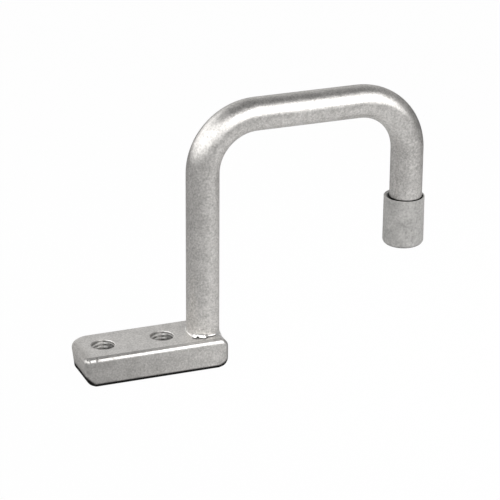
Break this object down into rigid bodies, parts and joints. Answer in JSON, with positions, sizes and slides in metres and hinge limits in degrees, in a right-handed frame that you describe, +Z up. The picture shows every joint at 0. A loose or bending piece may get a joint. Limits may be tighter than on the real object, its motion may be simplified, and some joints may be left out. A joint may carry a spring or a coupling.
{
  "type": "cable management ring",
  "caption": "Bent steel tube ring, open at one side, welded upright on a tapped flat bar and capped at its free end; holds cable bundles beside a frame.",
  "frame": {"origin": "midway between the tapped holes, on the bar's underside", "axes": "+X along the bar towards the ring, +Z up from the mounting face, +Y across the bar"},
  "size_m": [0.154, 0.0254, 0.1109],
  "materials": {
    "bar_steel": "satin zinc plate with a fine grain",
    "tube_steel": "satin zinc plate with a fine grain",
    "weld_steel": "rippled weld metal, brighter than the bar",
    "cap_vinyl": "matt grey vinyl"
  },
  "bodies": {
    "root": {"mounting_bar": "bar_steel", "ring_tube": "tube_steel", "weld_bead": "weld_steel", "end_cap": "cap_vinyl"}
  },
  "joints": []
}
